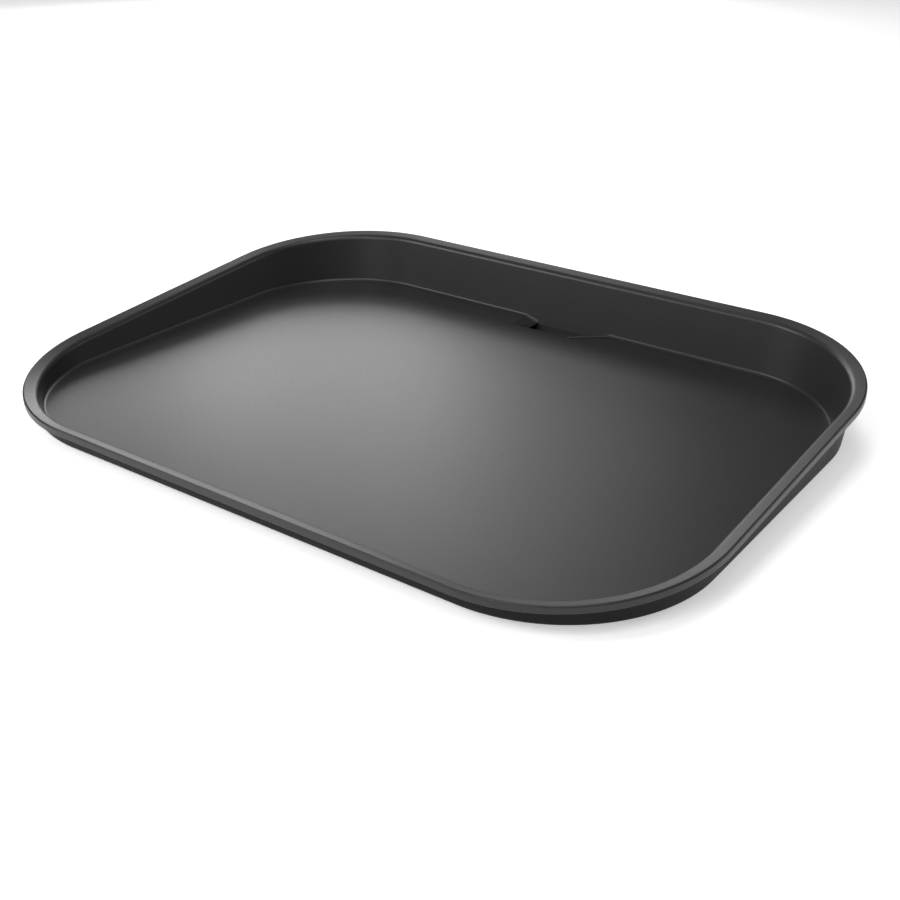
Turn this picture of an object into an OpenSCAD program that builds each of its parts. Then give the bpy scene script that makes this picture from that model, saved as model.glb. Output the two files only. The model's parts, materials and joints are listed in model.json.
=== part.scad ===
// Slim table-top electric griddle: a lift-off non-stick cooking pan with a high rear wall and a drain
// opening, over a pressed steel shell that holds a flat mica heater, a slide-out grease tray and, behind
// the rear wall, the socket for a removable temperature-control probe.

/* [Pan outline] */
// Width over the rim, left to right
pan_w = 560; // [540:5:600]
// Depth over the rim, front to rear
pan_d = 412; // [404:2:420]
// Corner radius of the rim, seen from above
corner_r = 115; // [105:5:120]

/* [Pan section] */
// Height of the rim over the cooking floor at the front
rim_front_h = 11.4; // [11.3:0.1:14]
// Height of the rim over the cooking floor at the rear
rim_rear_h = 42.2; // [40:0.2:44]
// Wall thickness of the pan casting
pan_t = 2.2; // [2:0.1:2.4]
// Depth of the rim's down-turned lip
lip_h = 5.1; // [4.8:0.1:5.4]
// Radius of the rim's outer edge
lip_r = 1.2; // [0.8:0.1:1.6]
// Angle at which the rim falls towards the pan
rim_fall = 15; // [12:1:16]
// Radius where the rim turns down into the wall
rim_turn_r = 5; // [4:0.2:5]
// Inset of the wall from the rim's outer edge, at rim height
wall_inset = 9.6; // [9.2:0.1:10]
// Lean of the wall from upright
wall_lean = 14.5; // [13:0.5:15]
// Radius where the wall meets the cooking floor
floor_r = 2.6; // [2.2:0.2:4.2]

/* [Shell] */
// Height of the cooking floor over the table
floor_h = 10; // [10:0.1:10.4]
// Height of the shell's bottom edge over the table
shell_clear = 3.6; // [3.4:0.1:3.6]
// Inset of the shell's outer face from the rim's outer edge, at rim height
shell_inset = 6.4; // [6.2:0.1:6.4]
// Lean of the shell's side from upright
shell_lean = 7.3; // [7:0.1:7.5]
// Sheet thickness of the shell
shell_t = 1; // [0.8:0.1:1]
// Radius of the shell's bottom edge
shell_r = 3; // [2.5:0.5:3.5]

/* [Drain] */
// Distance of the drain's straight front edge behind the pan's centre
drain_front = 163; // [161:1:165]
// Left end of the ramp
drain_left = -39.5; // [-41:0.5:-39]
// Left edge of the drain opening
hole_left = -28; // [-29:0.5:-27]
// Right end of the drain, at the rear wall
drain_right = 40; // [39:0.5:42]
// Front end of the slanting lip on the drain's right
lip_end = 14; // [12:0.5:16]
// Depth of the left ramp at the opening
ramp_drop = 3.2; // [2.8:0.1:3.2]
// Height of the lip over the cooking floor
lip_rise = 0.7; // [0.4:0.1:0.8]
// Depth of the floor's pocket beside the lip
pocket = 0.6; // [0.3:0.1:0.8]

/* [Grease tray] */
// Outer width of the tray between its two flanges
tray_w = 112; // [108:2:112]
// Depth of the tray, front to rear
tray_l = 58; // [54:1:58]
// Sheet thickness of the tray
tray_t = 0.5; // [0.4:0.1:0.6]

/* [Heater] */
// Width of the heater stack
heater_w = 496; // [480:2:496]
// Depth of the heater stack, front to rear
heater_l = 292; // [286:2:292]
// Number of runs in each of the two heating ribbons (even)
ribbon_runs = 18; // [14:2:18]

/* [Probe socket] */
// Length of the socket housing
socket_l = 96; // [90:2:96]
// Distance that the housing stands behind the rim's rear edge
socket_reach = 26; // [24:1:26]
// Height of the housing's top over the table
socket_top = 34; // [33:0.5:35]
// Distance between the two contact pins
pin_spacing = 18; // [17:0.5:18]
// Diameter of a contact pin
pin_dia = 4.8; // [4.5:0.1:5]

/* [Hidden] */
$fn = 64;
arc_steps = 14;            // steps in each 90 degree corner of the lofted pan and shell
eps = 0.01;
plate_t = 0.8;             // bottom plate, from below the shell's flange
plate_z = shell_clear - plate_t;
foot_dia = 20;
flange_w = 12;             // shell's bottom flange
tray_top = 5.2;
tray_bottom = 0.6;
tray_rear = 184.2;
tray_front = tray_rear - tray_l;
lug_w = 5;                 // flange along each side of the tray
rail_gap = 0.2;
stack_y = -28;             // centre of the heater stack, front to rear
stack_r = 88;              // corner radius of the heater stack
ribbon_w = 4;
ribbon_t = 0.15;
lead_dia = 2;
lead_z = 5.3;              // height at which the leads run below the pan
socket_x0 = 70;
socket_y1 = pan_d / 2 + socket_reach;
socket_wall = 2.4;
pin_z = 19;
pin_y = 215;               // middle of the socket, where the probe goes in
block_x = [94, 106];       // ends of the terminal block
pin_step = 0.8;            // how much thicker a pin is inside the block
ribbon_x = [14, 200];      // centres of the first and last run of a heating ribbon
ribbon_pitch = (ribbon_x[1] - ribbon_x[0]) / (ribbon_runs - 1);
clamp_x = ribbon_x[1] - 2.5 * ribbon_pitch;   // the clamp screws pass between two runs
clamp_xy = [for (x = [-clamp_x, 0, clamp_x], y = [-135, 70]) [x, y]];
foot_xy = [for (x = [-190, 190], y = [-118, 112]) [x, y]];
bridge_x = 85;             // left side of the strip that warms the probe sleeve
bridge_y = 191.2;          // its front face, in the gap between pan and shell
lead_x = [74.5, 78, 81.5]; // neutral, earth and live lead, where they pass through the shell

// ---- Outline and section of the lofted pan and shell ----

// Height of the rim over the cooking floor, at a distance y behind the pan's centre
function rim_z(y) = rim_front_h + (rim_rear_h - rim_front_h) * (y / pan_d + 0.5);

// The rim's outer edge, counter-clockwise: [corner centre, direction, rim height] for each step
function outline() = [for (corner = [0:3], step = [0:arc_steps])
    let (a = 90 * (corner + step / arc_steps),
        mid = 90 * corner + 45,
        centre = [sign(cos(mid)) * (pan_w / 2 - corner_r), sign(sin(mid)) * (pan_d / 2 - corner_r)],
        dir = [cos(a), sin(a)])
    [centre, dir, rim_z(centre.y + corner_r * dir.y)]];

// A point of an outline at section point [inset, height over the cooking floor]
function place(at, sect) = let (xy = at[0] + (corner_r - sect.x) * at[1]) [xy.x, xy.y, sect.y + floor_h];

function arc(centre, r, from, to, steps) =
    [for (i = [0:steps]) let (a = from + (to - from) * i / steps) centre + r * [cos(a), sin(a)]];

// Inset of the pan wall's inner face at height z, where the rim is at height h
function wall_at(h, z) = wall_inset + (h - z) * tan(wall_lean);

// Centre of the rounding between the falling rim and the wall
function turn_centre(h) =
    let (q = rim_fall, d = wall_lean,
        on_rim = [lip_r + lip_r * sin(q), h - lip_r + lip_r * cos(q)],
        b1 = [sin(q), cos(q)] * on_rim - rim_turn_r,
        b2 = [cos(d), sin(d)] * [wall_inset, h] - rim_turn_r,
        det = -cos(q + d))
    [(b1 * sin(d) - b2 * cos(q)) / det, (b2 * sin(q) - b1 * cos(d)) / det];

// Centre of the rounding between the wall and the cooking floor
function floor_centre(h) =
    [wall_inset + (floor_r - sin(wall_lean) * (floor_r - h)) / cos(wall_lean), floor_r];

// Pan section from the cooking floor, up the wall, over the rim, round the lip and back below
function pan_section(h) =
    let (q = rim_fall, d = wall_lean,
        turn = turn_centre(h),
        base = floor_centre(h),
        under = [lip_r + (lip_r - pan_t) * sin(q), h - lip_r + (lip_r - pan_t) * cos(q)])
    concat(
        arc(base, floor_r, 270, 180 + d, 7),
        arc(turn, rim_turn_r, d, 90 - q, 5),
        arc([lip_r, h - lip_r], lip_r, 90 - q, 180, 4),
        [[0, h - lip_h], [pan_t, h - lip_h], [pan_t, under.y - tan(q) * (pan_t - under.x)]],
        arc(turn, rim_turn_r - pan_t, 90 - q, d, 4),
        arc(base, floor_r + pan_t, 180 + d, 270, 6));

// Shell section: outer face from the top down, bottom edge, flange, and back up the inner face
function shell_section(h) =
    let (d = shell_lean, top = h - lip_h - 0.2, low = shell_clear - floor_h,
        touch = low + shell_r * (1 - sin(d)),
        c = [shell_inset + (h - touch) * tan(d) + shell_r * cos(d), low + shell_r],
        skin = shell_t / cos(d))
    concat(
        [[shell_inset + (h - top) * tan(d), top]],
        arc(c, shell_r, 180 + d, 270, 5),
        [[c.x + flange_w, low], [c.x + flange_w, low + shell_t]],
        arc(c, shell_r - shell_t, 270, 180 + d, 4),
        [[shell_inset + (h - top) * tan(d) + skin, top]]);

// Solid through rings of equal length. Open ends are capped; a closed loop of rings needs none.
module loft(rings, closed = false) {
    n = len(rings[0]);
    m = len(rings);
    last = closed ? m - 1 : m - 2;
    sides = [for (r = [0:last], i = [0:n - 1])
        let (a = r * n, b = ((r + 1) % m) * n, j = (i + 1) % n)
        each [[a + i, b + j, b + i], [a + i, a + j, b + j]]];
    caps = closed ? [] : [[for (i = [n - 1:-1:0]) i], [for (i = [0:n - 1]) (m - 1) * n + i]];
    polyhedron([for (ring = rings) each ring], concat(sides, caps), convexity = 8);
}

// Rings of a section that depends on the rim's height at each step of the outline
function rings_of(sections, edge) =
    [for (k = [0:len(sections[0]) - 1]) [for (i = [0:len(edge) - 1]) place(edge[i], sections[i][k])]];

module cube_between(a, b) { translate(a) cube(b - a); }

module rounded_plate(w, l, r) {
    square([w - 2 * r, l], center = true);
    square([w, l - 2 * r], center = true);
    for (x = [-1, 1], y = [-1, 1]) translate([x * (w / 2 - r), y * (l / 2 - r)]) circle(r);
}

// Outline in YZ carried from x0 to x1
module along_x(x0, x1, section) {
    translate([x0, 0, 0]) rotate([90, 0, 90]) linear_extrude(x1 - x0) polygon(section);
}

// Y of the rear wall's inner face at height z over the cooking floor
function rear_wall_y(z) = pan_d / 2 - wall_at(rim_rear_h, z);

// Y of the shell's outer rear face at height z over the table
function shell_rear_y(z) = pan_d / 2 - shell_inset - (rim_rear_h + floor_h - z) * tan(shell_lean);

// Round lead through hand-picked points
module lead(path, dia) {
    n = 8;
    last = len(path) - 1;
    rings = [for (k = [0:last])
        let (t = path[min(k + 1, last)] - path[max(k - 1, 0)],
            u = abs(t.z) > 0.8 * norm(t) ? [1, 0, 0] : [0, 0, 1],
            side = cross(t, u) / norm(cross(t, u)),
            up = cross(side, t) / norm(t))
        [for (i = [0:n - 1]) path[k] + dia / 2 * (cos(360 * i / n) * side + sin(360 * i / n) * up)]];
    loft(rings);
}

// ---- Cooking pan ----

ramp_t = pan_t - 1;
skirt_low = -ramp_drop - ramp_t - 0.1;     // bottom of the drain's edges, below the cooking floor
drain_top = 2.8;           // height to which the drain's cut reaches up the rear wall
lip_dia = 2.4;

// Section in YZ of the ramp at its shallow end, with the wall rounding at its rear
function ramp_section() =
    let (c = floor_centre(rim_rear_h), at = function (p) [pan_d / 2 - p.x, floor_h + p.y])
    concat(
        [[drain_front - 0.4, floor_h - ramp_t]],
        [for (p = arc(c, floor_r + ramp_t, 270, 180 + wall_lean, 6)) at(p)],
        [for (p = arc(c, floor_r, 180 + wall_lean, 270, 6)) at(p)],
        [[drain_front - 0.4, floor_h]]);

// Ramp from the floor to the opening, falling along the wall's lean
module drain_ramp() {
    start = drain_left - 0.3;
    fall = ramp_drop / (hole_left - start);
    translate([start, 0, -0.02])
        multmatrix([[1, 0, 0, 0], [-fall * tan(wall_lean), 1, 0, 0], [-fall, 0, 1, 0], [0, 0, 0, 1]])
            along_x(0, hole_left - start, ramp_section());
}

// Plan of the cut for the drain: square on the left, slanting on the right
module drain_cut() {
    translate([0, 0, floor_h - 8]) linear_extrude(8 + drain_top)
        polygon([[drain_left, drain_front], [lip_end, drain_front], [drain_right, rear_wall_y(0)],
            [drain_right, pan_d / 2], [drain_left, pan_d / 2]]);
}

// Shallow pocket between the lip and the cooking floor
module lip_pocket() {
    translate([0, 0, floor_h - pocket]) linear_extrude(pocket + 0.4)
        polygon([[lip_end - 1, drain_front], [lip_end + 16, drain_front],
            [drain_right + 3, rear_wall_y(0) - 5.5], [drain_right, rear_wall_y(0) - 2]]);
}

// Rounded bead along the drain's slanting edge
module drain_lip() {
    run = [drain_right, rear_wall_y(0)] - [lip_end, drain_front];
    translate([lip_end + 0.2, drain_front, floor_h + lip_rise - lip_dia / 2])
        rotate([0, 90, atan2(run.y, run.x)]) cylinder(d = lip_dia, h = norm(run) + 0.5);
}

// Edge of the cooking floor along the front of the drain, carried down past the ramp
module drain_sill() {
    cube_between([drain_left - 0.7, drain_front - 1.5, floor_h + skirt_low],
        [lip_end + 0.7, drain_front, floor_h - pan_t / 2]);
}

// Rear wall carried down past the cooking floor, behind the drain
module drain_skirt() {
    z = [skirt_low, drain_top + 0.5];
    at = function (level, depth) [rear_wall_y(level) + depth, floor_h + level];
    back = pan_t / cos(wall_lean) - 0.02;
    section = [at(z[0], 0.02), at(z[0], back), at(z[1], back), at(z[1], 0.02)];
    along_x(drain_left - 0.5, drain_right + 0.5, section);
}

module cooking_pan() {
    edge = outline();
    color([0.16, 0.16, 0.165]) {
        difference() {
            loft(rings_of([for (at = edge) pan_section(at[2])], edge));
            drain_cut();
            lip_pocket();
        }
        drain_ramp();
        drain_lip();
        drain_sill();
        drain_skirt();
    }
}

// ---- Shell, bottom plate and feet ----

plate_w = pan_w - 40;
plate_y = [-pan_d / 2 + 19, pan_d / 2 - 23];

module tray_slot_2d(grow) {
    translate([-tray_w / 2 - grow, tray_front - 1])
        square([tray_w + 2 * grow, pan_d / 2 - tray_front]);
}

module side_shell() {
    edge = outline();
    color([0.13, 0.13, 0.135]) difference() {
        loft(rings_of([for (at = edge) shell_section(at[2])], edge), closed = true);
        translate([0, 0, shell_clear - 1]) linear_extrude(tray_top + 0.7 - shell_clear + 1)
            tray_slot_2d(lug_w + 0.8);
        translate([lead_x[1], pan_d / 2 - 20, pin_z]) rotate([-90, 0, 0]) cylinder(d = 14, h = 14);
        translate([84, pan_d / 2 - 20, 16]) cube([8, 14, 6]);
        for (x = [socket_x0 + 6, socket_x0 + socket_l - 6])
            translate([x, pan_d / 2 - 20, 29]) rotate([-90, 0, 0]) cylinder(d = 3.4, h = 14);
        for (p = shell_screw_xy) translate([p.x, p.y, shell_clear - 1]) cylinder(d = 3.1, h = 3);
    }
}

shell_screw_xy = concat([for (x = [-110, 0, 110]) [x, -pan_d / 2 + 22.5]],
    [for (s = [-1, 1], y = [-60, 60]) [s * (pan_w / 2 - 23.5), y]],
    [for (s = [-1, 1]) [s * 118, pan_d / 2 - 26]]);

module bottom_plate_2d() {
    difference() {
        translate([0, (plate_y[0] + plate_y[1]) / 2])
            rounded_plate(plate_w, plate_y[1] - plate_y[0], corner_r - 20);
        tray_slot_2d(0.6);
        for (p = shell_screw_xy) translate(p) circle(d = 3.4);
        for (p = clamp_xy) translate(p) circle(d = 4.3);
        for (p = foot_xy) translate(p) circle(d = 3.1);
        for (x = [-1, 1], y = rail_rivet_y) translate([x * rail_rivet_x, y]) circle(d = 2.5);
        translate(earth_xy) circle(d = 3.1);
    }
}

module bottom_plate() {
    color([0.62, 0.62, 0.63]) translate([0, 0, plate_z]) linear_extrude(plate_t) bottom_plate_2d();
}

// Pan-head screw, head down, with its head's seat at z = 0
module screw_up(shank_dia, shank_l, head_dia, head_h) {
    translate([0, 0, -head_h]) cylinder(d1 = head_dia - 1, d2 = head_dia, h = head_h);
    cylinder(d = shank_dia, h = shank_l);
}

module shell_screws() {
    color([0.75, 0.75, 0.76]) for (p = shell_screw_xy)
        translate([p.x, p.y, plate_z]) screw_up(3, plate_t + shell_t + 1.2, 6, 1.3);
}

// Rubber foot with a counterbore for its screw
module foot(k) {
    p = foot_xy[k];
    color([0.07, 0.07, 0.07]) translate([p.x, p.y, 0]) difference() {
        union() {
            translate([0, 0, 0.6]) cylinder(d = foot_dia, h = plate_z - 0.6);
            cylinder(d1 = foot_dia - 1.2, d2 = foot_dia, h = 0.6);
        }
        translate([0, 0, -eps]) cylinder(d = 7, h = 1.7 + 2 * eps);
        cylinder(d = 3.2, h = plate_z + eps);
    }
}

module foot_screws() {
    color([0.75, 0.75, 0.76]) for (p = foot_xy)
        translate([p.x, p.y, 1.7]) screw_up(3, plate_z + plate_t - 1.7, 6, 1.2);
}

// Silicone pads on the shell's front and rear top edge, under the pan's rim
module rim_pads() {
    front_top = floor_h + rim_front_h - lip_h - 0.2;
    rear_top = floor_h + rim_rear_h - lip_h - 0.2;
    y = pan_d / 2 - shell_inset - (lip_h + 0.2) * tan(shell_lean) - shell_t / 2;
    color([0.55, 0.12, 0.08]) for (x = [-130, 0, 130]) {
        translate([x - 7, -y - 0.4, front_top]) cube([14, 0.8, 0.9]);
        translate([x - 7, y - 0.4, rear_top]) cube([14, 0.8, 0.9]);
    }
}

// ---- Heater ----

pressure_z = plate_z + plate_t;      // the stack lies on the bottom plate
blanket_z = pressure_z + 0.5;
mica_low_z = blanket_z + 1.2;
core_z = mica_low_z + 0.3;
ribbon_z = core_z + 0.4;
mica_up_z = ribbon_z + ribbon_t + 0.05;
heat_z = mica_up_z + 0.3;
heat_t = 1.2;

module stack_sheet(z, t, shrink, hole) {
    translate([0, stack_y, z]) linear_extrude(t) difference() {
        rounded_plate(heater_w - 2 * shrink, heater_l - 2 * shrink, stack_r - shrink);
        for (p = clamp_xy) translate([p.x, p.y - stack_y]) circle(d = hole);
    }
}

module pressure_plate() { color([0.66, 0.66, 0.67]) stack_sheet(pressure_z, 0.5, 0, 4.3); }
module insulation_blanket() { color([0.93, 0.92, 0.88]) stack_sheet(blanket_z, 1.2, 2, 4.6); }
module mica_cover_lower() { color([0.72, 0.6, 0.36]) stack_sheet(mica_low_z, 0.3, 4, 4.4); }
module mica_core() { color([0.76, 0.64, 0.4]) stack_sheet(core_z, 0.4, 4, 4.4); }
module mica_cover_upper() { color([0.72, 0.6, 0.36]) stack_sheet(mica_up_z, 0.3, 4, 4.4); }

module heat_plate() {
    color([0.8, 0.8, 0.81]) {
        stack_sheet(heat_z, heat_t, 0, 3.9);
        cube_between([bridge_x, stack_y + heater_l / 2 - 1, heat_z],
            [bridge_x + 6, bridge_y, heat_z + 0.8]);
    }
}

module clamp_screws() {
    color([0.75, 0.75, 0.76]) for (p = clamp_xy)
        translate([p.x, p.y, plate_z]) screw_up(3.8, heat_z + heat_t - 0.2 - plate_z, 7, 1.4);
}

stack_rear = stack_y + heater_l / 2 - 12;
stack_front = stack_y - heater_l / 2 + 12;

// How far a run stops short of the stack's front or rear, at a rounded corner
function corner_cut(x) =
    let (r = stack_r - 12, over = max(0, x - (heater_w / 2 - stack_r))) r - sqrt(r * r - over * over);

// Ribbon folded to and fro, with both ends at the rear edge of the mica core
module heating_ribbon(side) {
    color([0.6, 0.57, 0.55]) translate([0, 0, ribbon_z]) linear_extrude(ribbon_t)
        for (k = [0:ribbon_runs - 1]) {
            x = ribbon_x[0] + k * ribbon_pitch;
            low = stack_front + corner_cut(x);
            translate([side * x - ribbon_w / 2, low])
                square([ribbon_w, stack_rear - corner_cut(x) - low]);
            if (k < ribbon_runs - 1) {
                next = x + ribbon_pitch;
                cut = corner_cut(next);
                y = k % 2 == 0 ? stack_front + cut : stack_rear - cut - ribbon_w;
                translate([min(side * x, side * next) - ribbon_w / 2, y])
                    square([ribbon_pitch + ribbon_w, ribbon_w]);
            }
        }
}

// Brass tab from a ribbon's outer end to the crimp on its lead
module ribbon_tab(side) {
    y = stack_rear - corner_cut(ribbon_x[1]);
    color([0.78, 0.62, 0.25]) translate([side * ribbon_x[1], 0, 0]) {
        cube_between([-2.5, y, ribbon_z], [2.5, lead_y + 1, ribbon_z + ribbon_t]);
        translate([-4, lead_y, lead_z]) rotate([0, 90, 0]) difference() {
            cylinder(d = lead_dia + 1.2, h = 8);
            translate([0, 0, side > 0 ? -1 : 4]) cylinder(d = lead_dia + 0.04, h = 5);
        }
    }
}

// Strip that joins the two ribbons at the middle
module series_link() {
    half = ribbon_x[0] + ribbon_w / 2;
    color([0.78, 0.62, 0.25])
        cube_between([-half, stack_rear, ribbon_z], [half, stack_rear + 5, ribbon_z + ribbon_t]);
}

// ---- Grease tray and its rails ----

pull_y = shell_rear_y(tray_top) + 0.8;
pull_rivet_x = [-42, 42];
pull_rivet_z = 3.2;

module grease_tray() {
    w = tray_w;
    color([0.12, 0.12, 0.12]) difference() {
        union() {
            cube_between([-w / 2, tray_front, tray_bottom], [w / 2, tray_rear + tray_t, tray_top]);
            cube_between([-w / 2 - lug_w, tray_front, tray_top - 0.6],
                [w / 2 + lug_w, tray_rear + tray_t, tray_top]);
            cube_between([-w / 2, tray_rear, tray_top - 0.6], [w / 2, pull_y, tray_top]);
            cube_between([-w / 2, pull_y - tray_t, 0.8], [w / 2, pull_y, tray_top]);
        }
        cube_between([-w / 2 + tray_t, tray_front + tray_t, tray_bottom + tray_t],
            [w / 2 - tray_t, tray_rear, tray_top + 1]);
        for (x = pull_rivet_x)
            translate([x, pull_y - 2, pull_rivet_z]) rotate([-90, 0, 0]) cylinder(d = 2.1, h = 4);
    }
}

// Grip across the tray's rear flange, below the rim's overhang
module tray_pull() {
    grip_l = 52;
    color([0.1, 0.1, 0.1]) difference() {
        union() {
            translate([-tray_w / 2 + 2, pull_y, 0.8]) cube([tray_w - 4, 5, 5.4]);
            cube_between([-grip_l / 2, pull_y + 3, 1.6], [grip_l / 2, pull_y + 7.5, 4.8]);
            translate([-grip_l / 2, pull_y + 7.5, 3.2]) rotate([0, 90, 0]) cylinder(d = 3.2, h = grip_l);
        }
        for (x = pull_rivet_x)
            translate([x, pull_y - 1, pull_rivet_z]) rotate([-90, 0, 0]) cylinder(d = 2.1, h = 8);
        cube_between([-grip_l / 2 + 2, pull_y + 2.4, 0.7], [grip_l / 2 - 2, pull_y + 5.4, 2.1]);
    }
}

// Rivets through the tray's rear flange and the pull
module tray_rivets() {
    color([0.75, 0.75, 0.76]) for (x = pull_rivet_x)
        translate([x, pull_y - tray_t, pull_rivet_z]) rotate([-90, 0, 0]) {
            translate([0, 0, -0.4]) cylinder(d = 2.6, h = 0.4);
            cylinder(d = 2, h = 5 + tray_t);
            translate([0, 0, 5 + tray_t]) cylinder(d1 = 4, d2 = 3, h = 0.8);
        }
}

rail_l = 53;
rail_rivet_x = tray_w / 2 + lug_w + 6;
rail_rivet_y = [tray_front + 10, tray_front + 44];

// Channel that carries one flange of the tray
module tray_rail(s) {
    x0 = tray_w / 2 + 1;
    x1 = tray_w / 2 + lug_w + rail_gap;
    top = tray_top + 0.2;
    color([0.7, 0.7, 0.71]) mirror([s < 0 ? 1 : 0, 0, 0])
        translate([0, tray_front - 1, pressure_z]) difference() {
            union() {
                cube_between([x0, 0, 0], [x1 + 9, rail_l, tray_top - 0.8 - pressure_z]);
                cube_between([x1, 0, 0], [x1 + 1, rail_l, top - pressure_z]);
                cube_between([x0 + 1, 0, top - pressure_z], [x1 + 1, rail_l, top - pressure_z + 0.6]);
            }
            for (y = rail_rivet_y)
                translate([rail_rivet_x, y - tray_front + 1, -1]) cylinder(d = 2.5, h = 5);
        }
}

module rail_rivets() {
    color([0.75, 0.75, 0.76]) for (x = [-1, 1], y = rail_rivet_y)
        translate([x * rail_rivet_x, y, plate_z]) {
            screw_up(2.4, tray_top - 0.8 - plate_z, 4.4, 0.8);
            translate([0, 0, tray_top - 0.8 - plate_z]) cylinder(d1 = 4.4, d2 = 3.6, h = 0.7);
        }
}

// ---- Probe socket behind the rear wall ----

// Half-space in front of the shell's rear face
module behind_shell(grow) {
    translate([-10, shell_rear_y(0) + grow, 0]) rotate([-shell_lean, 0, 0])
        translate([0, -60, -40]) cube([pan_w, 60, 120]);
}

module housing_block(inset) {
    r = 5 - min(inset, 3);
    x0 = socket_x0 + inset;
    y1 = socket_y1 - inset;
    z0 = shell_clear + 0.4 + inset;
    z1 = socket_top - inset;
    translate([x0, 0, 0]) rotate([90, 0, 90]) linear_extrude(socket_l - (inset > 0 ? inset - 1 : 0))
        union() {
            translate([170, z0]) square([y1 - 170 - r, z1 - z0]);
            translate([170, z0 + r]) square([y1 - 170, z1 - z0 - 2 * r]);
            for (z = [z0 + r, z1 - r]) translate([y1 - r, z]) circle(r);
        }
}

module socket_housing() {
    color([0.1, 0.1, 0.1]) difference() {
        housing_block(0);
        behind_shell(0.3);
        difference() {
            housing_block(socket_wall);
            behind_shell(0.3 + socket_wall);
            // Web that carries the terminal block
            translate([block_x[0] + 2, 0, 0]) cube([4, 300, 100]);
        }
        translate([block_x[0] + 1, pin_y - 17, 8]) cube([6, 30, 21]);
        translate([lead_x[1], pan_d / 2 - 20, pin_z]) rotate([-90, 0, 0]) cylinder(d = 14, h = 18);
        translate([84, pan_d / 2 - 20, 16]) cube([8, 20, 6]);
        for (x = [socket_x0 + 6, socket_x0 + socket_l - 6])
            translate([x, pan_d / 2 - 20, 29]) rotate([-90, 0, 0]) cylinder(d = 2.6, h = 16);
    }
}

module socket_screws() {
    color([0.75, 0.75, 0.76]) for (x = [socket_x0 + 6, socket_x0 + socket_l - 6])
        translate([x, shell_rear_y(29) - shell_t - 0.6, 29]) rotate([-90, 0, 0]) screw_up(2.5, 8, 5, 1);
}

module terminal_block() {
    color([0.9, 0.88, 0.83]) difference() {
        translate([block_x[0], pin_y - 16.5, 9]) cube([block_x[1] - block_x[0], 29, 19]);
        for (x = [block_x[0] - 1, block_x[0] + 7]) translate([x, pin_y - 18, 8])
            difference() {
                cube([x < block_x[0] ? 3 : 7, 32, 21]);
                translate([-1, 3, 3]) cube([9, 26, 15]);
            }
        for (s = [-1, 1]) translate([block_x[0] - 1, pin_y + s * pin_spacing / 2, pin_z])
            rotate([0, 90, 0]) cylinder(d = pin_dia + pin_step + 0.1, h = 14);
        translate([block_x[0] - 1, pin_y, pin_z]) rotate([0, 90, 0]) cylinder(d = 8.2, h = 14);
    }
}

module contact_pin(s) {
    color([0.78, 0.78, 0.76]) translate([block_x[0] - 2, pin_y + s * pin_spacing / 2, pin_z])
        rotate([0, 90, 0]) {
            cylinder(d = pin_dia + pin_step, h = block_x[1] - block_x[0] + 2.5);
            cylinder(d = pin_dia, h = 50);
            translate([0, 0, 50]) cylinder(d1 = pin_dia, d2 = pin_dia - 2, h = 1.5);
        }
}

// Sleeve that takes the tip of the control probe
module probe_sleeve() {
    color([0.8, 0.8, 0.81]) translate([83, pin_y, pin_z]) rotate([0, 90, 0]) difference() {
        cylinder(d = 8, h = 43);
        translate([0, 0, 2]) cylinder(d = 6.4, h = 60);
    }
}

// Aluminium strip that carries the pan's heat from the heat plate to the probe sleeve
module sensor_bridge() {
    color([0.8, 0.8, 0.81]) translate([bridge_x, 0, 0]) difference() {
        union() {
            cube_between([0, bridge_y, heat_z], [6, bridge_y + 1, pin_z + 1]);
            cube_between([0, bridge_y, pin_z], [6, pin_y - 2, pin_z + 1]);
            translate([0, pin_y, pin_z]) rotate([0, 90, 0]) cylinder(d = 10.4, h = 6);
        }
        translate([-1, pin_y, pin_z]) rotate([0, 90, 0]) cylinder(d = 8, h = 8);
    }
}

module lead_grommet() {
    y = shell_rear_y(pin_z) - shell_t - 0.6;
    color([0.55, 0.12, 0.08]) translate([lead_x[1], y, pin_z]) rotate([-90, 0, 0]) difference() {
        cylinder(d = 13.6, h = 6);
        for (x = lead_x) translate([x - lead_x[1], 0, -1]) cylinder(d = lead_dia + 0.2, h = 9);
    }
}

// The part of each lead inside the pan's rear gap, from the grommet to the space below the pan
function drop_path(x) = [[x, shell_rear_y(pin_z) + 7, pin_z], [x, shell_rear_y(pin_z) - 1.7, pin_z],
    [x, 192.2, pin_z - 2.2], [x, 191.9, pin_z - 5], [x, 191.4, 9.5], [x, 188, 6.6], [x, 181, 6],
    [x, 165, lead_z]];

lead_y = stack_y + heater_l / 2 + 4.2;
fuse_x = [118, 132];
fuse_dia = 3.2;

module neutral_lead() {
    color([0.15, 0.3, 0.6]) lead(concat(
        [[block_x[0] - 0.3, pin_y + pin_spacing / 2, pin_z - 5], [84, 224, pin_z - 4],
            [76.5, 220, pin_z - 2], [lead_x[0], 210, pin_z]],
        drop_path(lead_x[0]),
        [[lead_x[0], 128, lead_z], [73.5, 124, lead_z], [70, lead_y, lead_z],
            [-ribbon_x[1] + 4, lead_y, lead_z]]), lead_dia);
}

module live_lead() {
    color([0.45, 0.24, 0.1]) lead(concat(
        [[block_x[0] - 0.3, pin_y - pin_spacing / 2 + 1, pin_z - 5], [88, 206, pin_z - 5],
            [83, 204.5, pin_z - 2]],
        drop_path(lead_x[2]),
        [[lead_x[2], 128, lead_z], [82.5, 124, lead_z], [86, lead_y, lead_z], [fuse_x[0], lead_y, lead_z]]),
        lead_dia);
}

module fuse_lead() {
    color([0.45, 0.24, 0.1])
        lead([[fuse_x[1], lead_y, lead_z], [ribbon_x[1] - 4, lead_y, lead_z]], lead_dia);
}

earth_xy = [lead_x[1], 150];

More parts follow.
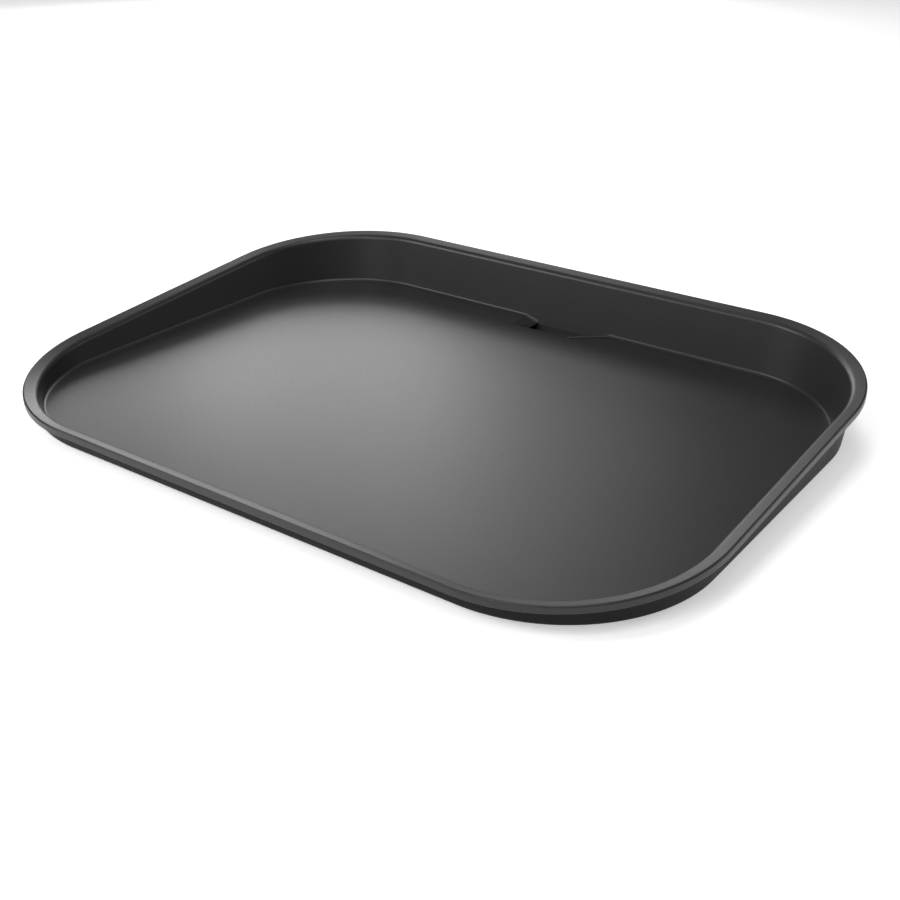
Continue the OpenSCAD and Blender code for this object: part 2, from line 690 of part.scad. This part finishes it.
module earth_lead() {
    color([0.3, 0.55, 0.2]) lead(concat(
        [[block_x[0] - 0.3, pin_y, pin_z - 7], [86, 213, pin_z - 7], [80, 210, pin_z - 3]],
        drop_path(lead_x[1]),
        [[earth_xy.x, earth_xy.y + 8, lead_z], [earth_xy.x, earth_xy.y + 2.2, lead_z]]), lead_dia);
}

module earth_stud() {
    color([0.78, 0.62, 0.25]) translate([earth_xy.x, earth_xy.y, 0]) {
        translate([0, 0, plate_z - 1]) cylinder(d = 5.4, h = 1);
        translate([0, 0, plate_z]) cylinder(d = 3, h = lead_z + 1 - plate_z);
        translate([0, 0, pressure_z]) cylinder(d = 4.4, h = lead_z + 0.8 - pressure_z);
    }
}

module thermal_fuse() {
    color([0.82, 0.82, 0.8]) translate([fuse_x[0], lead_y, lead_z]) rotate([0, 90, 0])
        cylinder(d = fuse_dia, h = fuse_x[1] - fuse_x[0]);
}

module fuse_clip() {
    mid = (fuse_x[0] + fuse_x[1]) / 2;
    color([0.75, 0.75, 0.76]) translate([mid - 3, lead_y, 0]) difference() {
        union() {
            translate([0, -2.2, pressure_z]) cube([6, 11, 0.4]);
            translate([0, 0, lead_z]) rotate([0, 90, 0]) cylinder(d = fuse_dia + 0.8, h = 6);
        }
        translate([-1, 0, lead_z]) rotate([0, 90, 0]) cylinder(d = fuse_dia + 0.02, h = 8);
        translate([-1, -5, pressure_z - 3]) cube([8, 20, 3]);
    }
}

// The origin is the middle of the whole object's footprint, socket included
module settled() { translate([0, -socket_reach / 2, 0]) children(); }

settled() cooking_pan();
settled() side_shell();
settled() bottom_plate();
settled() heat_plate();
settled() mica_cover_upper();
settled() heating_ribbon(-1);  // heating_ribbon_left
settled() heating_ribbon(1);  // heating_ribbon_right
settled() series_link();
settled() ribbon_tab(-1);  // ribbon_tab_left
settled() ribbon_tab(1);  // ribbon_tab_right
settled() mica_core();
settled() mica_cover_lower();
settled() insulation_blanket();
settled() pressure_plate();
settled() clamp_screws();
settled() shell_screws();
settled() foot(0);  // foot_front_left
settled() foot(1);  // foot_rear_left
settled() foot(2);  // foot_front_right
settled() foot(3);  // foot_rear_right
settled() foot_screws();
settled() rim_pads();
settled() grease_tray();
settled() tray_pull();
settled() tray_rivets();
settled() tray_rail(-1);  // tray_rail_left
settled() tray_rail(1);  // tray_rail_right
settled() rail_rivets();
settled() socket_housing();
settled() socket_screws();
settled() terminal_block();
settled() contact_pin(-1);  // contact_pin_live
settled() contact_pin(1);  // contact_pin_neutral
settled() probe_sleeve();
settled() sensor_bridge();
settled() lead_grommet();
settled() live_lead();
settled() fuse_lead();
settled() neutral_lead();
settled() earth_lead();
settled() earth_stud();
settled() thermal_fuse();
settled() fuse_clip();
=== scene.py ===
"""Looks of a slim table-top electric griddle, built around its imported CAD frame."""

import json
import math

import bmesh
import bpy
from mathutils import Matrix, Vector


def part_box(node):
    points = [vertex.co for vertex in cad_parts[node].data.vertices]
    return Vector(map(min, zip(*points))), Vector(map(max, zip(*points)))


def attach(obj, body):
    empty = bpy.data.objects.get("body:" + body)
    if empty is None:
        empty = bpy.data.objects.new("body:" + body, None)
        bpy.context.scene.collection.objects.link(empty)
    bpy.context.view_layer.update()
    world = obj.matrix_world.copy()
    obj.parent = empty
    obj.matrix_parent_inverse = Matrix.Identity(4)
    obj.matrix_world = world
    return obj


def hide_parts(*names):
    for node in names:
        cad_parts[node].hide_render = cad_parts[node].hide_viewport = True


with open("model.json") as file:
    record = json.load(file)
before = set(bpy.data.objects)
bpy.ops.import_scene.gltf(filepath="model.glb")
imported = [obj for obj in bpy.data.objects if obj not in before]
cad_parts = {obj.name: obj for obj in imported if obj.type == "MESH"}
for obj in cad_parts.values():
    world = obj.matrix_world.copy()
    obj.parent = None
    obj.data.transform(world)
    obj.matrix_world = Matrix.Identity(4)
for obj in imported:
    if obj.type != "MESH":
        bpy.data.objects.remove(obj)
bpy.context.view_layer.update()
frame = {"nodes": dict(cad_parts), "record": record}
nodes = frame["nodes"]
node_slots = {s["node"]: s["material_slot"] for s in frame["record"]["subparts"]}

MM = 0.001

# ---- Sizes, in millimetres, taken from the CAD frame where it holds them ----

pan_low, pan_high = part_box("cooking_pan")
CENTRE = Vector(((pan_low.x + pan_high.x) / 2, (pan_low.y + pan_high.y) / 2, 0))
PAN_W = (pan_high.x - pan_low.x) / MM
PAN_D = (pan_high.y - pan_low.y) / MM
CORNER_R = 115.0
CORNER_STEPS = 40
STRAIGHT_STEPS = 8

RAMP_DROP = 3.2
PAN_T = 2.2
RAMP_T = PAN_T - 1.0
FLOOR_H = pan_low.z / MM + RAMP_DROP + RAMP_T + 0.1
RIM_FRONT_H = 11.4
RIM_REAR_H = pan_high.z / MM - FLOOR_H
LIP_H = 5.1
LIP_R = 1.2
RIM_FALL = math.radians(15)
RIM_TURN_R = 5.0
WALL_INSET = 9.6
WALL_LEAN = math.radians(14.5)
FLOOR_R = 2.6

SHELL_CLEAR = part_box("side_shell")[0].z / MM
SHELL_INSET = 6.4
SHELL_LEAN = math.radians(7.3)
SHELL_T = 1.0
SHELL_R = 3.0
SHELL_FLANGE = 12.0

DRAIN_FRONT = 163.0
DRAIN_LEFT, HOLE_LEFT, LIP_END, DRAIN_RIGHT = -39.5, -28.0, 14.0, 40.0
DRAIN_TOP = 2.8
LIP_RISE, LIP_DIA, POCKET = 0.7, 2.4, 0.6


# ---- Mesh helpers ----

def new_piece(name, bm, smooth_angle=30):
    """Object from a bmesh given in millimetres about the rim's plan centre."""
    bmesh.ops.transform(bm, matrix=Matrix.Translation(CENTRE) @ Matrix.Scale(MM, 4), verts=bm.verts)
    mesh = bpy.data.meshes.new(name)
    bm.to_mesh(mesh)
    bm.free()
    obj = bpy.data.objects.new(name, mesh)
    bpy.context.scene.collection.objects.link(obj)
    shade(obj, smooth_angle)
    return obj


def shade(obj, angle):
    obj.data.polygons.foreach_set("use_smooth", [True] * len(obj.data.polygons))
    obj.data.set_sharp_from_angle(angle=math.radians(angle))


def apply_modifiers(obj):
    bpy.context.view_layer.update()
    evaluated = obj.evaluated_get(bpy.context.evaluated_depsgraph_get())
    mesh = bpy.data.meshes.new_from_object(evaluated)
    old = obj.data
    obj.modifiers.clear()
    obj.data = mesh
    bpy.data.meshes.remove(old)


def weigh_normals(obj):
    """Large flat faces keep their own normal where small faces meet them."""
    mod = obj.modifiers.new("weigh", "WEIGHTED_NORMAL")
    mod.keep_sharp = True
    mod.weight = 90
    apply_modifiers(obj)


def combine(obj, others, operation):
    """Boolean of a piece with helper solids, which are then removed."""
    for other in others:
        mod = obj.modifiers.new("combine", "BOOLEAN")
        mod.object = other
        mod.operation = operation
        mod.solver = "EXACT"
    apply_modifiers(obj)
    for other in others:
        bpy.data.objects.remove(other)


def bevel(obj, width, segments=2, angle=35):
    mod = obj.modifiers.new("bevel", "BEVEL")
    mod.width = width * MM
    mod.segments = segments
    mod.limit_method = "ANGLE"
    mod.angle_limit = math.radians(angle)
    mod.use_clamp_overlap = True
    mod.harden_normals = False
    apply_modifiers(obj)


def prism(name, points, offset):
    """Closed solid between a planar outline and its copy moved by offset."""
    bm = bmesh.new()
    low = [bm.verts.new(p) for p in points]
    high = [bm.verts.new(Vector(p) + Vector(offset)) for p in points]
    bm.faces.new(low)
    bm.faces.new(high)
    for i in range(len(low)):
        j = (i + 1) % len(low)
        bm.faces.new((low[i], low[j], high[j], high[i]))
    bmesh.ops.recalc_face_normals(bm, faces=bm.faces)
    return new_piece(name, bm)


def box_solid(name, low, high):
    corners = [(low[0], low[1], low[2]), (high[0], low[1], low[2]),
               (high[0], high[1], low[2]), (low[0], high[1], low[2])]
    return prism(name, corners, (0, 0, high[2] - low[2]))


# ---- Outline and sections of the pan and shell ----

def rim_z(y):
    return RIM_FRONT_H + (RIM_REAR_H - RIM_FRONT_H) * (y / PAN_D + 0.5)


def corner_centre(corner):
    mid = math.radians(90 * corner + 45)
    return (math.copysign(PAN_W / 2 - CORNER_R, math.cos(mid)),
            math.copysign(PAN_D / 2 - CORNER_R, math.sin(mid)))


def outline():
    """The rim's outer edge, counter-clockwise: (centre of rounding, direction, rim height)."""
    edge = []
    for corner in range(4):
        here, following = corner_centre(corner), corner_centre(corner + 1)
        for step in range(CORNER_STEPS + 1):
            a = math.radians(90 * (corner + step / CORNER_STEPS))
            edge.append((here, (math.cos(a), math.sin(a))))
        for step in range(1, STRAIGHT_STEPS):
            t = step / STRAIGHT_STEPS
            edge.append((tuple(h + (f - h) * t for h, f in zip(here, following)), edge[-1][1]))
    return [(c, d, rim_z(c[1] + CORNER_R * d[1])) for c, d in edge]


def arc(centre, r, start, end, steps):
    for i in range(steps + 1):
        a = start + (end - start) * i / steps
        yield centre[0] + r * math.cos(a), centre[1] + r * math.sin(a)


def turn_centre(h):
    """Centre of the rounding between the falling rim and the wall."""
    q, d = RIM_FALL, WALL_LEAN
    on_rim = (LIP_R + LIP_R * math.sin(q), h - LIP_R + LIP_R * math.cos(q))
    b1 = math.sin(q) * on_rim[0] + math.cos(q) * on_rim[1] - RIM_TURN_R
    b2 = math.cos(d) * WALL_INSET + math.sin(d) * h - RIM_TURN_R
    det = -math.cos(q + d)
    return ((b1 * math.sin(d) - b2 * math.cos(q)) / det, (b2 * math.sin(q) - b1 * math.cos(d)) / det)


def floor_centre(h):
    """Centre of the rounding between the wall and the cooking floor."""
    return (WALL_INSET + (FLOOR_R - math.sin(WALL_LEAN) * (FLOOR_R - h)) / math.cos(WALL_LEAN), FLOOR_R)


def pan_section(h):
    """From the cooking floor up the wall, over the rim, round the lip and back below."""
    q, d, half, right = RIM_FALL, WALL_LEAN, math.pi, math.pi / 2
    turn, base = turn_centre(h), floor_centre(h)
    under = (LIP_R + (LIP_R - PAN_T) * math.sin(q), h - LIP_R + (LIP_R - PAN_T) * math.cos(q))
    points = list(arc(base, FLOOR_R, half + right, half + d, 10))
    points += arc(turn, RIM_TURN_R, d, right - q, 8)
    points += arc((LIP_R, h - LIP_R), LIP_R, right - q, half, 6)
    points += arc((0.4, h - LIP_H + 0.4), 0.4, half, half + right, 3)
    points += arc((PAN_T - 0.4, h - LIP_H + 0.4), 0.4, half + right, 2 * half, 3)
    points.append((PAN_T, under[1] - math.tan(q) * (PAN_T - under[0])))
    points += arc(turn, RIM_TURN_R - PAN_T, right - q, d, 4)
    points += arc(base, FLOOR_R + PAN_T, half + d, half + right, 6)
    return points


def shell_section(h):
    """Outer face from the top down, bottom edge, flange, and back up the inner face."""
    d = SHELL_LEAN
    top, low = h - LIP_H - 0.2, SHELL_CLEAR - FLOOR_H
    touch = low + SHELL_R * (1 - math.sin(d))
    c = (SHELL_INSET + (h - touch) * math.tan(d) + SHELL_R * math.cos(d), low + SHELL_R)
    skin = SHELL_T / math.cos(d)
    edge_x = SHELL_INSET + (h - top) * math.tan(d)
    points = [(edge_x, top)]
    points += arc(c, SHELL_R, math.pi + d, 1.5 * math.pi, 8)
    points += [(c[0] + SHELL_FLANGE, low), (c[0] + SHELL_FLANGE, low + SHELL_T)]
    points += arc(c, SHELL_R - SHELL_T, 1.5 * math.pi, math.pi + d, 6)
    points.append((edge_x + skin, top))
    return points


def lofted(name, section, closed):
    """Solid that carries a section round the outline; open ends get a flat cap."""
    edge = outline()
    sections = [section(h) for _, _, h in edge]
    bm = bmesh.new()
    rings = []
    for k in range(len(sections[0])):
        ring = []
        for (centre, d, _), points in zip(edge, sections):
            inset, z = points[k]
            r = CORNER_R - inset
            ring.append(bm.verts.new((centre[0] + r * d[0], centre[1] + r * d[1], z + FLOOR_H)))
        rings.append(ring)
    n = len(edge)
    pairs = list(zip(rings, rings[1:]))
    if closed:
        pairs.append((rings[-1], rings[0]))
    else:
        bm.faces.new(rings[0])
        bm.faces.new(rings[-1])
    for a, b in pairs:
        for i in range(n):
            j = (i + 1) % n
            bm.faces.new((a[i], a[j], b[j], b[i]))
    bmesh.ops.recalc_face_normals(bm, faces=bm.faces)
    return new_piece(name, bm)


# ---- Cooking pan ----

def rear_wall_y(z):
    return PAN_D / 2 - (WALL_INSET + (RIM_REAR_H - z) * math.tan(WALL_LEAN))


def ramp_solid():
    """Wedge of floor, with its wall rounding, that falls towards the drain opening."""
    start = DRAIN_LEFT - 0.3
    c, half = floor_centre(RIM_REAR_H), math.pi
    section = [(DRAIN_FRONT - 0.4, FLOOR_H - RAMP_T)]
    outer = arc(c, FLOOR_R + RAMP_T, 1.5 * half, half + WALL_LEAN, 9)
    inner = arc(c, FLOOR_R, half + WALL_LEAN, 1.5 * half, 9)
    section += [(PAN_D / 2 - x, FLOOR_H + z) for x, z in outer]
    section += [(PAN_D / 2 - x, FLOOR_H + z) for x, z in inner]
    section.append((DRAIN_FRONT - 0.4, FLOOR_H))
    points = [(start, y, z - 0.02) for y, z in section]
    return prism("ramp", points, (HOLE_LEFT - start, -RAMP_DROP * math.tan(WALL_LEAN), -RAMP_DROP))


def lip_solid():
    """Rounded bead along the drain's slanting edge."""
    start = Vector((LIP_END, DRAIN_FRONT, FLOOR_H + LIP_RISE - LIP_DIA / 2))
    run = Vector((DRAIN_RIGHT - LIP_END, rear_wall_y(0) - DRAIN_FRONT, 0))
    across = run.cross(Vector((0, 0, 1))).normalized() * LIP_DIA / 2
    upward = Vector((0, 0, LIP_DIA / 2))
    ring = [start + across * math.cos(a) + upward * math.sin(a)
            for a in (math.radians(k * 15) for k in range(24))]
    return prism("lip", ring, run * 1.015)


def cooking_pan():
    pan = lofted("pan_body", pan_section, closed=False)
    wall = rear_wall_y(0)
    plan = [(DRAIN_LEFT, DRAIN_FRONT), (LIP_END, DRAIN_FRONT), (DRAIN_RIGHT, wall),
            (DRAIN_RIGHT, PAN_D / 2), (DRAIN_LEFT, PAN_D / 2)]
    cut = prism("drain_cut", [(x, y, FLOOR_H - 8) for x, y in plan], (0, 0, 8 + DRAIN_TOP))
    beside = [(LIP_END - 1, DRAIN_FRONT), (LIP_END + 16, DRAIN_FRONT),
              (DRAIN_RIGHT + 3, wall - 5.5), (DRAIN_RIGHT, wall - 2)]
    pocket = prism("pocket", [(x, y, FLOOR_H - POCKET) for x, y in beside], (0, 0, POCKET + 0.4))
    combine(pan, [cut, pocket], "DIFFERENCE")
    low = FLOOR_H - RAMP_DROP - RAMP_T - 0.1
    sill = box_solid("sill", (DRAIN_LEFT - 0.7, DRAIN_FRONT - 1.5, low),
                     (LIP_END + 0.7, DRAIN_FRONT, FLOOR_H - PAN_T / 2))
    back = PAN_T / math.cos(WALL_LEAN) - 0.02
    skirt_section = [(rear_wall_y(z) + depth, FLOOR_H + z) for z, depth in
                     ((low - FLOOR_H, 0.02), (low - FLOOR_H, back),
                      (DRAIN_TOP + 0.5, back), (DRAIN_TOP + 0.5, 0.02))]
    skirt = prism("skirt", [(DRAIN_LEFT - 0.5, y, z) for y, z in skirt_section],
                  (DRAIN_RIGHT - DRAIN_LEFT + 1, 0, 0))
    combine(pan, [ramp_solid(), lip_solid(), sill, skirt], "UNION")
    bevel(pan, 0.25, segments=2, angle=28)
    shade(pan, 32)
    weigh_normals(pan)
    return pan


# ---- Side shell ----

def side_shell():
    shell = lofted("shell_body", shell_section, closed=True)
    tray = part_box("grease_tray")
    slot_w = (tray[1].x - tray[0].x) / MM / 2 + 0.8
    slot = box_solid("slot", (-slot_w, (tray[0].y - CENTRE.y) / MM - 1, SHELL_CLEAR - 1),
                     (slot_w, PAN_D / 2, tray[1].z / MM + 0.7))
    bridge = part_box("sensor_bridge")
    x0 = bridge[0].x / MM - 1
    window = box_solid("window", (x0, PAN_D / 2 - 20, 16), (x0 + 8, PAN_D / 2 - 6, 22))
    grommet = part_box("lead_grommet")
    gx, gz = (grommet[0].x + grommet[1].x) / 2 / MM, (grommet[0].z + grommet[1].z) / 2 / MM
    ring = [(gx + 7 * math.cos(a), PAN_D / 2 - 20, gz + 7 * math.sin(a))
            for a in (math.radians(k * 7.5) for k in range(48))]
    hole = prism("hole", ring, (0, 14, 0))
    combine(shell, [slot, window, hole], "DIFFERENCE")
    bevel(shell, 0.2, segments=2, angle=40)
    shade(shell, 32)
    weigh_normals(shell)
    return shell


# ---- Pieces softened from the CAD's own box-like parts ----

def softened(node, width, segments=2, angle=40):
    """Copy of a CAD part with its flat faces merged and its hard edges rounded."""
    piece = bpy.data.objects.new(node + "_soft", nodes[node].data.copy())
    bpy.context.scene.collection.objects.link(piece)
    bm = bmesh.new()
    bm.from_mesh(piece.data)
    bmesh.ops.remove_doubles(bm, verts=bm.verts, dist=2e-6)
    bmesh.ops.dissolve_limit(bm, angle_limit=math.radians(0.5), verts=bm.verts, edges=bm.edges)
    bm.to_mesh(piece.data)
    bm.free()
    if piece.data.has_custom_normals:
        with bpy.context.temp_override(object=piece, active_object=piece):
            bpy.ops.mesh.customdata_custom_splitnormals_clear()
    bevel(piece, width, segments, angle)
    shade(piece, 32)
    return piece


# ---- Materials ----

class Builder:
    """One Principled material with helpers for its procedural nodes."""

    def __init__(self, name):
        self.material = bpy.data.materials.new(name)
        self.material.use_nodes = True
        self.tree = self.material.node_tree
        self.bsdf = self.tree.nodes["Principled BSDF"]
        self.coords = self.tree.nodes.new("ShaderNodeTexCoord").outputs["Object"]

    def link(self, out, socket):
        self.tree.links.new(out, socket)

    def stretched(self, scale):
        mapping = self.tree.nodes.new("ShaderNodeMapping")
        mapping.inputs["Scale"].default_value = scale
        self.link(self.coords, mapping.inputs["Vector"])
        return mapping.outputs["Vector"]

    def noise(self, scale, detail=3, rough=0.5, distortion=0.0, vector=None):
        node = self.tree.nodes.new("ShaderNodeTexNoise")
        node.inputs["Scale"].default_value = scale
        node.inputs["Detail"].default_value = detail
        node.inputs["Roughness"].default_value = rough
        node.inputs["Distortion"].default_value = distortion
        self.link(vector or self.coords, node.inputs["Vector"])
        return node.outputs["Fac"]

    def voronoi(self, scale, output="Distance", feature="F1"):
        node = self.tree.nodes.new("ShaderNodeTexVoronoi")
        node.feature = feature
        node.inputs["Scale"].default_value = scale
        self.link(self.coords, node.inputs["Vector"])
        return node.outputs[output]

    def ranged(self, value, low, high, start=0.3, end=0.7):
        node = self.tree.nodes.new("ShaderNodeMapRange")
        for key, number in (("From Min", start), ("From Max", end), ("To Min", low), ("To Max", high)):
            node.inputs[key].default_value = number
        self.link(value, node.inputs["Value"])
        return node.outputs["Result"]

    def colours(self, value, dark, light, start=0.3, end=0.7):
        node = self.tree.nodes.new("ShaderNodeValToRGB")
        node.color_ramp.elements[0].position = start
        node.color_ramp.elements[0].color = (*dark, 1)
        node.color_ramp.elements[1].position = end
        node.color_ramp.elements[1].color = (*light, 1)
        self.link(value, node.inputs["Fac"])
        self.link(node.outputs["Color"], self.bsdf.inputs["Base Color"])

    def roughness(self, value, low, high):
        self.link(self.ranged(value, low, high), self.bsdf.inputs["Roughness"])

    def bump(self, value, distance, strength=1.0):
        node = self.tree.nodes.new("ShaderNodeBump")
        node.inputs["Distance"].default_value = distance
        node.inputs["Strength"].default_value = strength
        self.link(value, node.inputs["Height"])
        self.link(node.outputs["Normal"], self.bsdf.inputs["Normal"])

    def set(self, **values):
        for key, number in values.items():
            self.bsdf.inputs[key.replace("_", " ")].default_value = number


def tinted(colour, factor):
    return tuple(min(1.0, c * factor) for c in colour)


def coating(name, colour, rough, grain=2600, depth=0.000012, spec=0.5):
    """Satin coating: fine pebbled grain over a faint cloudiness."""
    b = Builder(name)
    b.colours(b.noise(9, 4), tinted(colour, 0.93), tinted(colour, 1.08))
    b.roughness(b.noise(420, 4), rough - 0.02, rough + 0.03)
    b.bump(b.noise(grain, 2), depth)
    b.set(Specular_IOR_Level=spec)
    return b.material


def rolled_metal(name, colour, rough, along=(1, 30, 30)):
    """Sheet metal with rolling marks along one axis and a faint mottle."""
    b = Builder(name)
    b.colours(b.noise(60, 4, 0.6), tinted(colour, 0.86), tinted(colour, 1.07))
    marks = b.noise(90, 5, 0.6, vector=b.stretched(along))
    b.roughness(marks, rough - 0.08, rough + 0.1)
    b.bump(marks, 0.00001, 0.6)
    b.set(Metallic=1.0)
    return b.material


def spangled(name, colour, rough):
    """Zinc coat: flat crystals that differ a little in shade."""
    b = Builder(name)
    cells = b.voronoi(110, output="Color")
    b.colours(cells, tinted(colour, 0.82), tinted(colour, 1.06), 0.1, 0.9)
    b.roughness(cells, rough - 0.08, rough + 0.1)
    b.bump(b.noise(900, 3), 0.000008)
    b.set(Metallic=1.0)
    return b.material


def moulded(name, colour, rough, grain=1500, depth=0.00002, spec=0.45):
    """Moulded plastic or rubber with a spark-eroded grain."""
    b = Builder(name)
    b.colours(b.noise(160, 4), tinted(colour, 0.88), tinted(colour, 1.12))
    b.roughness(b.noise(300, 3), rough - 0.05, rough + 0.07)
    b.bump(b.noise(grain, 3, 0.6), depth)
    b.set(Specular_IOR_Level=spec)
    return b.material


def flaked(name, colour):
    """Pressed mica: overlapping flakes of several browns with a soft gloss."""
    b = Builder(name)
    b.colours(b.voronoi(260, output="Color"), tinted(colour, 0.6), tinted(colour, 1.25), 0.1, 0.9)
    b.roughness(b.noise(200, 4), 0.3, 0.5)
    b.bump(b.voronoi(260), 0.00002)
    b.set(Coat_Weight=0.2)
    return b.material


def fibrous(name, colour):
    """Needled fibre blanket: long distorted strands."""
    b = Builder(name)
    strands = b.noise(300, 8, 0.75, distortion=3.0)
    b.colours(strands, tinted(colour, 0.75), tinted(colour, 1.08))
    b.roughness(strands, 0.85, 1.0)
    b.bump(strands, 0.0002)
    b.set(Sheen_Weight=0.3)
    return b.material


def braided(name, colour):
    """Insulation with a fine woven sleeve."""
    b = Builder(name)
    node = b.tree.nodes.new("ShaderNodeTexWave")
    node.inputs["Scale"].default_value = 900
    node.inputs["Distortion"].default_value = 2.0
    b.link(b.coords, node.inputs["Vector"])
    b.colours(node.outputs["Fac"], tinted(colour, 0.75), tinted(colour, 1.2))
    b.roughness(b.noise(500, 3), 0.45, 0.65)
    b.bump(node.outputs["Fac"], 0.00004)
    return b.material


def record_colour(slot):
    entry = next(m for m in frame["record"]["materials"] if m["slot"] == slot)
    return tuple(entry["base_color"][:3])


MAKERS = {
    "pan_coating": lambda n: coating(n, (0.022, 0.022, 0.0225), 0.36, spec=0.36),
    # Shell base colour is set darker than the pan's. Partly the enamel's own near-black, partly painted
    # shade that keeps the lower outer walls darker than the white floor's light makes them.
    "shell_enamel": lambda n: coating(n, (0.005, 0.005, 0.0052), 0.5, grain=1900, spec=0.15),
    "zinc_steel": lambda n: spangled(n, record_colour(n), 0.36),
    "heat_plate": lambda n: rolled_metal(n, record_colour(n), 0.38),
    "mica": lambda n: flaked(n, record_colour(n)),
    "ribbon_alloy": lambda n: rolled_metal(n, record_colour(n), 0.4, along=(30, 1, 30)),
    "brass": lambda n: rolled_metal(n, record_colour(n), 0.3),
    "glass_fibre": lambda n: fibrous(n, record_colour(n)),
    "screw_steel": lambda n: spangled(n, record_colour(n), 0.3),
    "foot_rubber": lambda n: moulded(n, record_colour(n), 0.75, grain=1100, depth=0.00004, spec=0.3),
    "silicone": lambda n: moulded(n, record_colour(n), 0.5),
    # Near-black tray. Partly a black coating the tray can have, partly painted shade: kept dark so the
    # drain opening above it reads as a dark hole.
    "tray_coating": lambda n: coating(n, (0.016, 0.016, 0.0165), 0.4),
    "tray_steel": lambda n: rolled_metal(n, record_colour(n), 0.32),
    "black_plastic": lambda n: moulded(n, record_colour(n), 0.52),
    "steatite": lambda n: moulded(n, record_colour(n), 0.6, grain=2400, depth=0.00003),
    "pin_nickel": lambda n: rolled_metal(n, record_colour(n), 0.18, along=(2, 40, 40)),
    "sleeve_aluminium": lambda n: rolled_metal(n, record_colour(n), 0.34),
    "lead_brown": lambda n: braided(n, record_colour(n)),
    "lead_blue": lambda n: braided(n, record_colour(n)),
    "lead_green": lambda n: braided(n, record_colour(n)),
    "fuse_case": lambda n: rolled_metal(n, record_colour(n), 0.25),
}
materials = {slot: make(slot) for slot, make in MAKERS.items()}


def finish_piece(piece, body, slot, *replaced):
    piece.data.materials.clear()
    piece.data.materials.append(materials[slot])
    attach(piece, body)
    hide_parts(*replaced)


# ---- The object ----

finish_piece(cooking_pan(), "pan", "pan_coating", "cooking_pan")
finish_piece(side_shell(), "base", "shell_enamel", "side_shell")

SOFTENED = {
    "tray": {"tray_pull": 0.3, "grease_tray": 0.12},
    "base": {"socket_housing": 0.4, "terminal_block": 0.3, "foot_front_left": 0.3,
             "foot_front_right": 0.3, "foot_rear_left": 0.3, "foot_rear_right": 0.3,
             "probe_sleeve": 0.2},
}
softened_nodes = set()
for body, widths in SOFTENED.items():
    for node, width in widths.items():
        finish_piece(softened(node, width), body, node_slots[node], node)
        softened_nodes.add(node)

for node, obj in nodes.items():
    if node in softened_nodes or node in ("cooking_pan", "side_shell"):
        continue
    obj.data.materials.clear()
    obj.data.materials.append(materials[node_slots[node]])


# ---- Stage, light and camera ----

STAGE_SIZE = 80
STAGE_GLOW = 0.46  # light given off by the floor itself, so that it stays white
SKY = 0.12
LIGHT_DISTANCE = 2.2
LIGHT_SIZE = 0.7


def level_plane(name, centre, size):
    bm = bmesh.new()
    bmesh.ops.create_grid(bm, x_segments=1, y_segments=1, size=size / 2)
    mesh = bpy.data.meshes.new(name)
    bm.to_mesh(mesh)
    bm.free()
    obj = bpy.data.objects.new(name, mesh)
    obj.location = centre
    bpy.context.scene.collection.objects.link(obj)
    return obj


floor = level_plane("floor", (0, 0, -0.0001), STAGE_SIZE)
floor_look = Builder("pale_floor")
floor_look.colours(floor_look.noise(4, 2), (0.9, 0.9, 0.9), (0.92, 0.92, 0.92))
floor_look.set(Roughness=0.9, Specular_IOR_Level=0.1)
floor_look.set(Emission_Color=(1, 1, 1, 1), Emission_Strength=STAGE_GLOW)
floor.data.materials.append(floor_look.material)


def soft_box(name, direction, power):
    """Square area light that looks at the object."""
    data = bpy.data.lights.new(name, "AREA")
    data.shape = "SQUARE"
    data.size = LIGHT_SIZE
    data.energy = power
    obj = bpy.data.objects.new(name, data)
    obj.location = direction * LIGHT_DISTANCE
    obj.rotation_euler = (-direction).to_track_quat("-Z", "Y").to_euler()
    bpy.context.scene.collection.objects.link(obj)


# Soft boxes around the object: degrees from +Y towards +X, degrees up, watts
LIGHTS = {
    "front_right": (135, 60, 6.0),
    "front_low": (180, 30, 7.0),
    "front_high": (180, 50, 9.0),
    "front_left": (225, 30, 18.0),
    "left_low": (300, 18, 4.4),
    "rear_left_low": (315, 18, 5.1),
    "rear_left": (317, 27, 2.4),
    "rear_left_high": (327, 33, 2.6),
    "rear_left_rim": (330, 9, 1.2),
    "rear_right": (45, 25, 4.5),
    "above": (0, 88, 11.0),
}
for name, (azimuth, height, power) in LIGHTS.items():
    az, el = math.radians(azimuth), math.radians(height)
    direction = Vector((math.sin(az) * math.cos(el), math.cos(az) * math.cos(el), math.sin(el)))
    soft_box(name, direction, power)

world = bpy.data.worlds.new("studio")
world.use_nodes = True
world.node_tree.nodes["Background"].inputs["Color"].default_value = (1, 1, 1, 1)
world.node_tree.nodes["Background"].inputs["Strength"].default_value = SKY
bpy.context.scene.world = world
bpy.context.scene.view_settings.view_transform = "Standard"

CAMERA_AZ, CAMERA_EL, CAMERA_ROLL = (math.radians(a) for a in (36.479, 27.119, -0.304))
CAMERA_AT = Vector((0.5167, -0.6741, 0.3946 + FLOOR_H * MM))
LENS, SENSOR = 51.02, 36
SHIFT_X, SHIFT_Y = -0.0036, 0.0004

flat = math.cos(CAMERA_EL)
back = Vector((math.sin(CAMERA_AZ) * flat, -math.cos(CAMERA_AZ) * flat, math.sin(CAMERA_EL)))
level = Vector((math.cos(CAMERA_AZ), math.sin(CAMERA_AZ), 0))
upright = back.cross(level)
side = math.cos(CAMERA_ROLL) * level + math.sin(CAMERA_ROLL) * upright
top = math.cos(CAMERA_ROLL) * upright - math.sin(CAMERA_ROLL) * level
camera_data = bpy.data.cameras.new("camera")
camera_data.sensor_width = SENSOR
camera_data.lens = LENS
camera_data.shift_x = SHIFT_X
camera_data.shift_y = SHIFT_Y
camera = bpy.data.objects.new("camera", camera_data)
turned = Matrix((side, top, back)).transposed().to_4x4()
camera.matrix_world = Matrix.Translation(CENTRE + CAMERA_AT) @ turned
bpy.context.scene.collection.objects.link(camera)
bpy.context.scene.camera = camera
